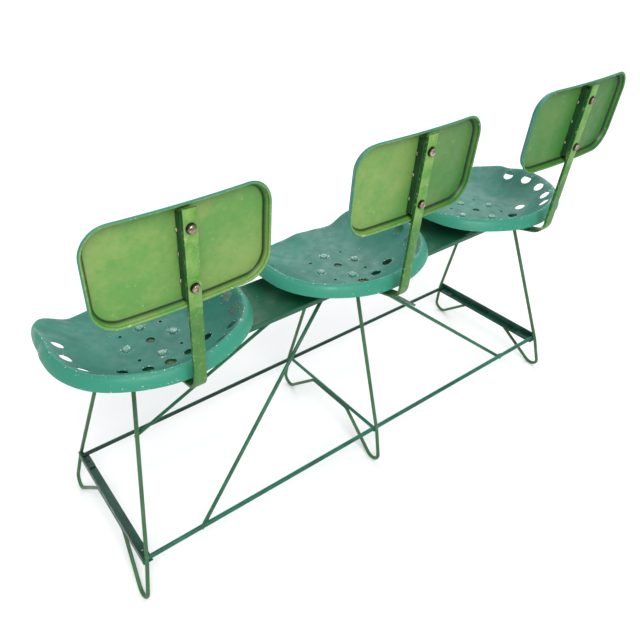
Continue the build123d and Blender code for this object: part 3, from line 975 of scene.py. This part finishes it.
@dataclass
class BackPan:
    """One pressed back: bowed sheet, flared rim and a rolled edge, leaning to the rear."""

    place: Place
    high: float = 164.0 * MM
    corner: float = 44.0 * MM
    depth: float = 15.0 * MM
    flare: float = math.radians(30)
    curve: float = 1400.0 * MM
    sheet: float = 1.6 * MM
    roll: float = 2.4 * MM
    fold: float = 4.5 * MM
    bend: float = 3.0 * MM
    worn: float = 0.45

    def ring(self, width: float, inset: float, points: int) -> list[tuple[float, float]]:
        """Points of the rounded outline moved in all round.

        Args:
            width: The outline's full width.
            inset: How far in.
            points: Points along each quarter.

        Returns:
            X and Z of each point, from the middle of the right side round.
        """
        half_w, half_h = width / 2 - inset, self.high / 2 - inset
        radius = min(max(self.corner - inset, 0.0), half_h)
        quarter: list[tuple[float, float]] = []
        side, arc, top = points // 5, points // 2, points - points // 5 - points // 2
        for i in range(side):
            quarter.append((half_w, (half_h - radius) * i / side))
        for turn in quarter_turns(arc):
            quarter.append((half_w - radius + radius * math.cos(turn),
                            half_h - radius + radius * math.sin(turn)))
        for i in range(top):
            quarter.append(((half_w - radius) * (1 - i / top), half_h))
        upper = quarter + [(0.0, half_h)]
        upper += [(-x, z) for x, z in reversed(quarter[1:])] + [(-quarter[0][0], 0.0)]
        return upper + [(x, -z) for x, z in reversed(upper[1:-1])]

    def profile(self) -> list[tuple[float, float]]:
        """Inset and depth of each ring, from the recess's middle over the roll to the front's middle."""
        flare = math.tan(self.flare)
        floor = self.depth - self.sheet
        insets = (self.high * 0.4999, 70 * MM, 52 * MM, 36 * MM, 24 * MM)
        rings = [(inset, floor) for inset in insets]
        foot = floor * flare + self.sheet
        bends = quarter_turns(6) + [math.pi / 2]
        rings += [(foot + self.bend * (1 - math.sin(t)), floor - self.bend * (1 - math.cos(t)))
                  for t in bends]
        past_roll = 2 * self.roll + 1.4 * MM
        rings.append((past_roll * flare + self.sheet, past_roll))
        for step in range(1, 12):
            turn = math.radians(-55 + 250 * step / 12)
            rings.append((self.roll * (1.05 + math.cos(turn)), self.roll * (1 - math.sin(turn))))
        off_roll = 2 * self.roll + 0.6 * MM
        rings.append((off_roll * flare, off_roll))
        start = self.depth - self.fold
        rings += [(start * flare + self.fold * (1 - math.cos(t)), start + self.fold * math.sin(t))
                  for t in bends]
        return rings + [(inset, self.depth) for inset in reversed(insets)]

    def bow(self, away: float) -> float:
        """How far the curved sheet stands forward at a distance from its strap."""
        return self.curve - math.sqrt(self.curve ** 2 - away ** 2)

    def build(self, material: Material) -> Piece:
        """Builds the back and paints its masks.

        Args:
            material: The back's paint.

        Returns:
            The piece.
        """
        low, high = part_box(f"back_pan_{self.place.value}")
        width = high.x - low.x
        tilt = Matrix.Rotation(-LEAN, 4, "X")
        rear = Vector(((low.x + high.x) / 2, high.y - self.high / 2 * math.sin(LEAN),
                       high.z - self.high / 2 * math.cos(LEAN)))
        stand = Matrix.Translation(rear) @ tilt
        strap_x = centre(f"back_strap_{self.place.value}").x
        mesh = bmesh.new()
        rows = []
        for inset, depth in self.profile():
            ring = []
            for x, z in self.ring(width, inset, 40):
                spot = Vector((x, -depth - self.bow(rear.x + x - strap_x), z))
                ring.append(mesh.verts.new(stand @ spot))
            rows.append(ring)
        grid_faces(mesh, rows)
        bmesh.ops.remove_doubles(mesh, verts=mesh.verts, dist=0.05 * MM)
        piece = finished_piece(f"back_{self.place.value}", mesh, material,
                               [f"back_pan_{self.place.value}"], sharp=60)
        back = stand.inverted()

        def facing(point: Vector) -> tuple[float, float]:
            """Depth from the rear and inset from the outline of a point."""
            spot = back @ point
            depth = -spot.y - self.bow(rear.x + spot.x - strap_x)
            half_w, half_h = width / 2, self.high / 2
            dx, dz = abs(spot.x) - (half_w - self.corner), abs(spot.z) - (half_h - self.corner)
            outside = math.hypot(max(dx, 0), max(dz, 0)) + min(max(dx, dz), 0)
            return depth, self.corner - outside

        def tone_and_shading(point: Vector) -> float:
            """1 on the sitter's side: front face, outer wall and the outer half of the roll."""
            depth, inset = facing(point)
            outer = self.roll if depth < 2 * self.roll else depth * math.tan(self.flare) + 0.75 * MM
            front = eased((depth - self.depth + 0.9 * MM) / (0.3 * MM))
            return max(eased((outer - inset) / MM + 0.5), front)

        def painted_shade(point: Vector) -> float:
            """Painted shadow: a dark line at the foot of the recess's wall."""
            depth, inset = facing(point)
            floor = self.depth - self.sheet
            if depth > floor + 0.4 * MM:
                return 0.0
            foot = floor * math.tan(self.flare) + self.sheet
            return bell(inset - foot + 0.3 * MM, 1.6 * MM)

        def shade_grade(point: Vector) -> float:
            """Paint that deepens across the back."""
            # Painted shade that darkens the back towards its -X end, by each place's own amounts.
            near, far = SHADE_ACROSS[self.place]
            return near + (far - near) * eased((high.x - point.x) / width)

        def wear(point: Vector) -> float:
            """Rubbed crest of the rolled edge."""
            depth, inset = facing(point)
            return self.worn * bell(depth - 0.4 * MM, 1.6 * MM) * eased((inset - 1.8 * MM) / MM)

        paint_masks(piece, {Mask.TONE_AND_SHADING: tone_and_shading, Mask.PAINTED_SHADE: painted_shade, Mask.WEAR: wear, Mask.SHADE_GRADE: shade_grade})
        return piece


@dataclass
class Strap:
    """One flat bar: along the rail, up a slope and up behind the back, with rounded rubbed edges."""

    place: Place
    width: float = 22.0 * MM
    thick: float = 6.0 * MM
    edge: float = 1.0 * MM
    lift_past: float = 17.0 * MM
    lift_bend: float = 60.0 * MM
    corner_rise: float = 26.0 * MM
    path_step: float = 5.0 * MM
    worn: float = 0.6
    # Strength of the painted shade under the seat.
    under_seat_shade: float = 0.9
    # Strength of the painted shade below the back.
    grade_shaded: float = 0.75
    corner_bend: float = 32.0 * MM

    def section(self, _: float) -> list[Vector]:
        """The bar's section with rounded corners."""
        ring = []
        for sx, sy, start in ((1, 1, 0), (-1, 1, 90), (-1, -1, 180), (1, -1, 270)):
            for step in range(4):
                turn = math.radians(start + 30 * step)
                ring.append(Vector((sx * (self.width / 2 - self.edge) + self.edge * math.cos(turn),
                                    sy * (self.thick / 2 - self.edge) + self.edge * math.sin(turn), 0)))
        return ring

    def build(self, material: Material) -> Piece:
        """Sweeps the bar and paints its masks.

        Args:
            material: The strap's paint.

        Returns:
            The piece.
        """
        low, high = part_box(f"back_strap_{self.place.value}")
        middle_x = (low.x + high.x) / 2
        level = low.z + self.thick / 2
        top_y = high.y - self.thick / 2 * math.cos(LEAN)
        corner_z = low.z + self.corner_rise
        corner_y = top_y - (high.z - corner_z) * math.tan(LEAN)
        lift_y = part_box("rail")[1].y + self.lift_past
        corners = [Vector((middle_x, low.y, level)), Vector((middle_x, lift_y, level)),
                   Vector((middle_x, corner_y, corner_z)), Vector((middle_x, top_y, high.z))]
        path = rounded_path(corners, [self.lift_bend, self.corner_bend], self.path_step)
        mesh = bmesh.new()
        sweep(mesh, path, self.section, Vector((1, 0, 0)))
        piece = finished_piece(f"strap_{self.place.value}", mesh, material,
                               [f"back_strap_{self.place.value}"], sharp=35)
        reach = self.width / 2
        back_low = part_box(f"back_pan_{self.place.value}")[0].z

        def wear(point: Vector) -> float:
            """Rubbed long edges."""
            return self.worn * eased((abs(point.x - middle_x) - reach + 2.5 * MM) / (2.5 * MM))

        def tone_and_shading(point: Vector) -> float:
            """Painted shade: darker on the narrow sides."""
            return eased((abs(point.x - middle_x) - reach + 0.3 * MM) / (0.2 * MM))

        def painted_shade(point: Vector) -> float:
            """Painted shade under the seat."""
            return self.under_seat_shade * eased((corner_z + 14 * MM - point.z) / (30 * MM))

        def shade_grade(point: Vector) -> float:
            """Painted shade: darker below the back."""
            return self.grade_shaded * eased((back_low - point.z + 30 * MM) / (70 * MM))

        paint_masks(piece, {Mask.WEAR: wear, Mask.TONE_AND_SHADING: tone_and_shading, Mask.PAINTED_SHADE: painted_shade, Mask.SHADE_GRADE: shade_grade})
        return piece


# ---- Fixings and welds ----
HEAD_RADIUS, HEAD_EDGE, HEAD_TOP = 8.5 * MM, 0.7 * MM, 4.4 * MM
HEAD_ROOM = 4.5 * MM
SHANK_RADIUS = 4.0 * MM


@dataclass
class SeatBolts:
    """Four painted dome heads in a seat's flat, each on a worn collar."""

    place: Place

    def build(self, material: Material) -> Piece:
        """Turns the four bolts.

        Args:
            material: The bolts' paint.

        Returns:
            The piece.
        """
        node = f"seat_bolts_{self.place.value}"
        low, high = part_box(node)
        middle = (low + high) / 2
        seat = high.z - HEAD_ROOM
        tail = low.z - seat
        profile = [(0, tail, 0), (SHANK_RADIUS * 0.8, tail, 0), (SHANK_RADIUS, tail + 0.8 * MM, 0),
                   (SHANK_RADIUS, 0, 0), (HEAD_RADIUS, 0, 0), (HEAD_RADIUS, HEAD_EDGE, 0)]
        profile += dome(HEAD_RADIUS, HEAD_EDGE, HEAD_TOP)
        mesh = bmesh.new()
        for x, y in CROSS:
            spot = Vector((middle.x + x * BOLT_REACH, middle.y + y * BOLT_REACH, seat))
            lathe(mesh, Matrix.Translation(spot), profile)
        name = f"seat_bolt_heads_{self.place.value}"
        piece = finished_piece(name, mesh, material, [node])
        paint_masks(piece, {Mask.WEAR: lambda point: 0.55 if point.z > seat + 2.5 * MM else 0.2})
        return piece


@dataclass
class BackFixings:
    """Domed nuts with washers behind a strap and the bolt heads in front of its back."""

    place: Place
    flats: float = 6.5 * MM
    hexagon: float = 4.2 * MM
    dome: float = 6.0 * MM
    dome_high: float = 2.8 * MM

    def build(self, material: Material) -> None:
        """Builds the two nuts and the two bolts.

        Args:
            material: Bare steel.
        """
        nuts, bolts = f"back_nuts_{self.place.value}", f"back_bolts_{self.place.value}"
        low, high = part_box(nuts)
        bolt_low, bolt_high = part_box(bolts)
        x = (low.x + high.x) / 2
        way = Vector((0, math.cos(LEAN), -math.sin(LEAN)))
        turn = way.to_track_quat("Z", "X").to_matrix().to_4x4()
        tall = self.hexagon + self.dome_high
        rise = high.z - low.z - 2 * self.flats
        caps, heads = bmesh.new(), bmesh.new()
        outer = Vector((x, high.y - tall * math.cos(LEAN), high.z - self.flats))
        inner = outer - Vector((0, math.sin(LEAN), math.cos(LEAN))) * rise
        cap = [(0, 0, 0), (self.flats, 0, 1), (self.flats, self.hexagon - 0.5 * MM, 1),
               (self.flats * 0.97, self.hexagon, 0.35)]
        cap += dome(self.dome, self.hexagon + 0.1 * MM, tall, first=0)
        washer = [(radius * MM, height * MM, 0) for radius, height in
                  ((0, 0.02), (8.2, 0.02), (8.3, 0.4), (8.1, 0.9), (0, 0.9))]
        reach = bolt_high.y - bolt_low.y
        head = [(0, -0.2 * MM, 0), (HEAD_RADIUS, 0, 0), (HEAD_RADIUS, HEAD_EDGE, 0)]
        head += dome(HEAD_RADIUS, HEAD_EDGE, HEAD_TOP)
        tail = 5 * MM - reach
        shank = [(0, tail, 0), (SHANK_RADIUS, tail, 0), (SHANK_RADIUS, 0, 0), (0, 0, 0)]
        for spot in (outer, inner):
            frame = Matrix.Translation(spot) @ turn
            lathe(caps, frame, cap)
            lathe(caps, frame, washer)
            front = spot + way * (self.hexagon - reach + HEAD_ROOM)
            facing = Matrix.Translation(front) @ turn @ Matrix.Rotation(math.pi, 4, "X")
            lathe(heads, facing, head)
            lathe(heads, facing, shank)
        name = f"back_nut_caps_{self.place.value}"
        capped = finished_piece(name, caps, material, [nuts])

        def painted_shade(point: Vector) -> float:
            """Painted shadow round the foot of the nut and over the washer."""
            return 0.85 * eased((self.hexagon - (point - outer).dot(way)) / MM + 0.6)

        paint_masks(capped, {Mask.PAINTED_SHADE: painted_shade})
        finished_piece(f"back_bolt_heads_{self.place.value}", heads, material, [bolts])


@dataclass
class Welds:
    """Rippled weld beads where the rods, bars and channels meet."""

    bead: float = 1.9 * MM
    tack: float = 1.7 * MM
    rod: float = 8.0 * MM
    rod_inset: float = 9.6 * MM
    seam_out: float = 4.9 * MM
    seam_rise: float = 3.4 * MM
    rail_drop: float = 2.9 * MM
    brace_back: float = 14.0 * MM
    tack_shares: tuple[float, ...] = (0.2, 0.52, 0.8)
    ripple: float = 0.28
    seed: int = 11

    def run(self, mesh: BMesh, start: Vector, end: Vector, size: float) -> None:
        """Lays one bead between two points.

        Args:
            mesh: The mesh to add to.
            start: Where it starts.
            end: Where it ends.
            size: Radius of the bead.
        """
        dice = random.Random(self.seed + int(abs(start.x) * 9973) + int(abs(start.y) * 7919))
        count = max(7, int((end - start).length / (0.7 * MM)))
        phase = dice.random() * 6

        def section(share: float) -> list[Vector]:
            """The bead's outline, thin at both ends and rippled between."""
            swell = math.sqrt(max(0.02, math.sin(math.pi * min(max(share, 0.02), 0.98))))
            ripples = 1 + self.ripple * math.sin(share * count * 1.9 + phase) * 0.5
            return circle(size * swell * ripples, 10)

        path = [start.lerp(end, i / count) for i in range(count + 1)]
        for point in path[1:-1]:
            point += Vector((dice.uniform(-1, 1), dice.uniform(-1, 1), dice.uniform(-1, 1))) * size * 0.08
        sweep(mesh, path, section)

    def across(self, mesh: BMesh, spot: Vector, half: Vector, size: float) -> None:
        """Lays one bead through a spot, half of it to each side."""
        self.run(mesh, spot - half, spot + half, size)

    def frame_beads(self, material: Material) -> Piece:
        """Beads at the leg frames' joints with the stretchers, bars and rail.

        Args:
            material: The rods' paint.

        Returns:
            The piece.
        """
        mesh = bmesh.new()
        for place in Place:
            low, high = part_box(f"leg_rod_{place.value}")
            rod = self.rod
            slope = (high.x - low.x - rod) / (high.z - low.z - rod)
            sense = {Place.LEFT: 1, Place.MIDDLE: 0, Place.RIGHT: -1}[place]
            foot_x = high.x - rod / 2 if sense >= 0 else low.x + rod / 2
            for row in ("front", "rear"):
                line = centre(f"{row}_stretcher")
                way = 1 if row == "rear" else -1
                x = foot_x - sense * slope * (line.z - rod / 2)
                for rise in (-self.seam_rise, self.seam_rise):
                    middle = Vector((x, line.y + way * self.seam_out, line.z + rise))
                    self.across(mesh, middle, Vector((6 * MM, 0, 0)), self.bead)
                top_x = foot_x - sense * slope * (high.z - rod / 2)
                rail_low, rail_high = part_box("rail")
                top_y = rail_high.y - self.rod_inset if way > 0 else rail_low.y + self.rod_inset
                for side in (-1, 1):
                    spot = Vector((top_x + side * 4 * MM, top_y, rail_high.z - self.rail_drop))
                    self.across(mesh, spot, Vector((0, 4 * MM, 0)), self.bead)
        for end in ("left", "right"):
            low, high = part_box(f"cross_angle_{end}")
            for y, way in ((low.y, -1), (high.y, 1)):
                x = high.x - 3 * MM if end == "left" else low.x + 3 * MM
                spot = Vector((x, y + way * 0.2 * MM, low.z + 9 * MM))
                self.across(mesh, spot, Vector((0, 0, 7 * MM)), self.bead)
        for row in ("front", "rear"):
            way = 1 if row == "rear" else -1
            line = centre(f"{row}_stretcher")
            for end, sense in (("left", 1), ("right", -1)):
                low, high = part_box(f"{row}_brace_{end}")
                tip_x = high.x if sense > 0 else low.x
                x = tip_x - sense * self.brace_back
                seam = Vector((x, line.y - way * 3.6 * MM, line.z + 3.2 * MM))
                self.across(mesh, seam, Vector((8 * MM, 0, 0)), self.bead)
        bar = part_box("cross_rod_middle")
        for y, way in ((bar[0].y, -1), (bar[1].y, 1)):
            for side in (-1, 1):
                spot = Vector((side * 2.5 * MM, y + way * 0.3 * MM, (bar[0].z + bar[1].z) / 2))
                self.across(mesh, spot, Vector((0, 0, 3 * MM)), self.bead * 0.8)
        return finished_piece("frame_welds", mesh, material, sharp=80)

    def channel_tacks(self, place: Place, material: Material) -> Piece:
        """Three tacks down each side of a back's channel.

        Args:
            place: Which back.
            material: The tacks' finish.

        Returns:
            The piece.
        """
        low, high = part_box(f"back_channel_{place.value}")
        mesh = bmesh.new()
        tall = high.z - low.z
        for share in self.tack_shares:
            z = low.z + tall * share
            y = low.y + 1.6 * MM + (z - low.z) * math.tan(LEAN)
            for x in (low.x - 0.4 * MM, high.x + 0.4 * MM):
                spot = Vector((x, y, z))
                self.across(mesh, spot, Vector((0, 0, 3.2 * MM)), self.tack)
        return finished_piece(f"channel_tacks_{place.value}", mesh, material, sharp=80)


# ---- Parts that keep their CAD shape ----
FINISH_OF: dict[str, Paint | BareSteel] = {
    "rail": RAIL_PAINT, "leg_rod": LEG_PAINT, "cross_rod": ROD_PAINT, "cross_angle": ANGLE_PAINT,
    # The front stretcher takes the painted-shade copy of the rod paint.
    "stretcher_lugs": ANGLE_PAINT, "front_stretcher": FRONT_ROD_SHADED_PAINT, "rear_stretcher": ROD_PAINT,
    "front_brace": BRACE_PAINT, "rear_brace": BRACE_PAINT, "seat_nuts": BOLT_PAINT,
    # Channels and seat spacers take the near-black painted shade.
    "seat_spacers": CHANNEL_SHADED_PAINT, "back_channel": CHANNEL_SHADED_PAINT, "seat_pan": SEAT_PAINT,
    "back_pan": BACK_PAINT, "back_strap": STRAP_PAINT, "seat_bolts": BOLT_PAINT,
    "back_bolts": BARE_STEEL, "back_nuts": BARE_STEEL,
}


def dress_nodes(nodes: dict[str, Piece], materials: dict[str, Material]) -> None:
    """Gives every CAD node its finish.

    Args:
        nodes: The CAD nodes by name.
        materials: Built materials by finish name.
    """
    for name, node in nodes.items():
        finish = next((value for start, value in FINISH_OF.items() if name.startswith(start)), None)
        if finish is None:
            LOG.warning("no finish for %s", name)
            continue
        node.data.materials.clear()
        node.data.materials.append(materials[finish.name])
        LOG.info("dressed %s in %s", name, finish.name)


# ---- Studio ----
@dataclass
class Studio:
    """Pale floor, soft lights and the camera."""

    stand_off: tuple[float, float, float] = (0.77451, 0.84469, 1.13047)
    yaw: float = -0.5779
    pitch: float = 0.6328
    roll: float = -0.0329
    lens: float = 34.18
    shift: tuple[float, float] = (0.105, 0.0112)
    floor_rings: tuple[float, ...] = (0.5, 2.0, 6.0, 16.0)
    floor_sides: int = 64
    sky_strength: float = 0.62

    def floor(self) -> Piece:
        """Lays the floor.

        Returns:
            The floor.
        """
        mesh = bmesh.new()
        rows = [[mesh.verts.new(point) for point in circle(reach, self.floor_sides)]
                for reach in self.floor_rings]
        hub = mesh.verts.new((0, 0, 0))
        grid_faces(mesh, [[hub] * self.floor_sides] + rows)
        floor = placed("studio_floor", freed("studio_floor", mesh))
        made = Surface("floor_white")
        grain = made.node("TexNoise", {"Vector": made.place, "Scale": 3.0}).outputs["Fac"]
        made.feed(made.shader["Base Color"], made.mix(grain, (0.90, 0.90, 0.895, 1), (0.92, 0.92, 0.92, 1)))
        made.feed(made.shader["Roughness"], 0.9)
        floor.data.materials.append(made.material)
        return floor

    def lights(self) -> None:
        """Hangs a wide key light over the rear, a fill in front and a pale sky."""
        world = bpy.data.worlds.new("studio_sky")
        bpy.context.scene.world = world
        world.use_nodes = True
        sky = world.node_tree.nodes["Background"].inputs
        sky["Color"].default_value = (0.96, 0.98, 1.0, 1)
        sky["Strength"].default_value = self.sky_strength
        for name, place, aim, size, power in (
            ("key", (0.9, 2.2, 3.0), (0, 0, 0.4), 2.0, 100.0),
            ("fill", (-2.4, -1.4, 2.4), (0, 0, 0.4), 2.5, 18.0),
            ("far_floor", (-3.8, -6.2, 5.0), (-3.8, -6.2, 0), 9.0, 420.0),
        ):
            data = bpy.data.lights.new(name, "AREA")
            data.size = size
            data.energy = power
            lamp = placed(name, data)
            lamp.location = place
            lamp.rotation_euler = (Vector(aim) - Vector(place)).to_track_quat("-Z", "Y").to_euler()

    def camera(self) -> None:
        """Stands the camera behind the bench's left end, looking down along the row."""
        data = bpy.data.cameras.new("camera")
        data.lens = self.lens
        data.sensor_width = 36.0
        data.shift_x, data.shift_y = self.shift
        data.clip_end = 60.0
        way = Vector((math.sin(self.yaw) * math.cos(self.pitch), -math.cos(self.yaw) * math.cos(self.pitch),
                      -math.sin(self.pitch)))
        level = way.cross(Vector((0, 0, 1))).normalized()
        upright = level.cross(way)
        right = level * math.cos(self.roll) + upright * math.sin(self.roll)
        up = upright * math.cos(self.roll) - level * math.sin(self.roll)
        turn = Matrix((right, up, -way)).transposed().to_4x4()
        seat = centre("seat_bolts_middle")
        stand = Vector((seat.x + self.stand_off[0], seat.y + self.stand_off[1], self.stand_off[2]))
        camera = placed("camera", data)
        camera.matrix_world = Matrix.Translation(stand) @ turn
        bpy.context.scene.camera = camera

    def build(self) -> None:
        """Sets up the floor, lights, camera and plain colours."""
        self.floor()
        self.lights()
        self.camera()
        bpy.context.scene.view_settings.view_transform = "Standard"


def main() -> None:
    """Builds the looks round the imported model."""
    logging.basicConfig(level=logging.INFO, format="%(name)s: %(message)s")
    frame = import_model()
    groups = Groups.build()
    materials = {finish.name: finish.material(groups) for finish in ALL_FINISHES}
    dress_nodes(frame["nodes"], materials)

    shape = SeatShape()
    pressing = SeatPan.pressing(shape, columns=300, fineness=5)
    welds = Welds()
    for place in Place:
        SeatPan(place, shape).build(pressing, materials[SEAT_PAINT.name])
        SeatBolts(place).build(materials[BOLT_PAINT.name])
        BackPan(place).build(materials[BACK_PAINT.name])
        Strap(place).build(materials[STRAP_PAINT.name])
        BackFixings(place).build(materials[BARE_STEEL.name])
        welds.channel_tacks(place, materials[BARE_STEEL.name])
    welds.frame_beads(materials[ROD_PAINT.name])
    Studio().build()


if __name__ == "__main__":
    main()
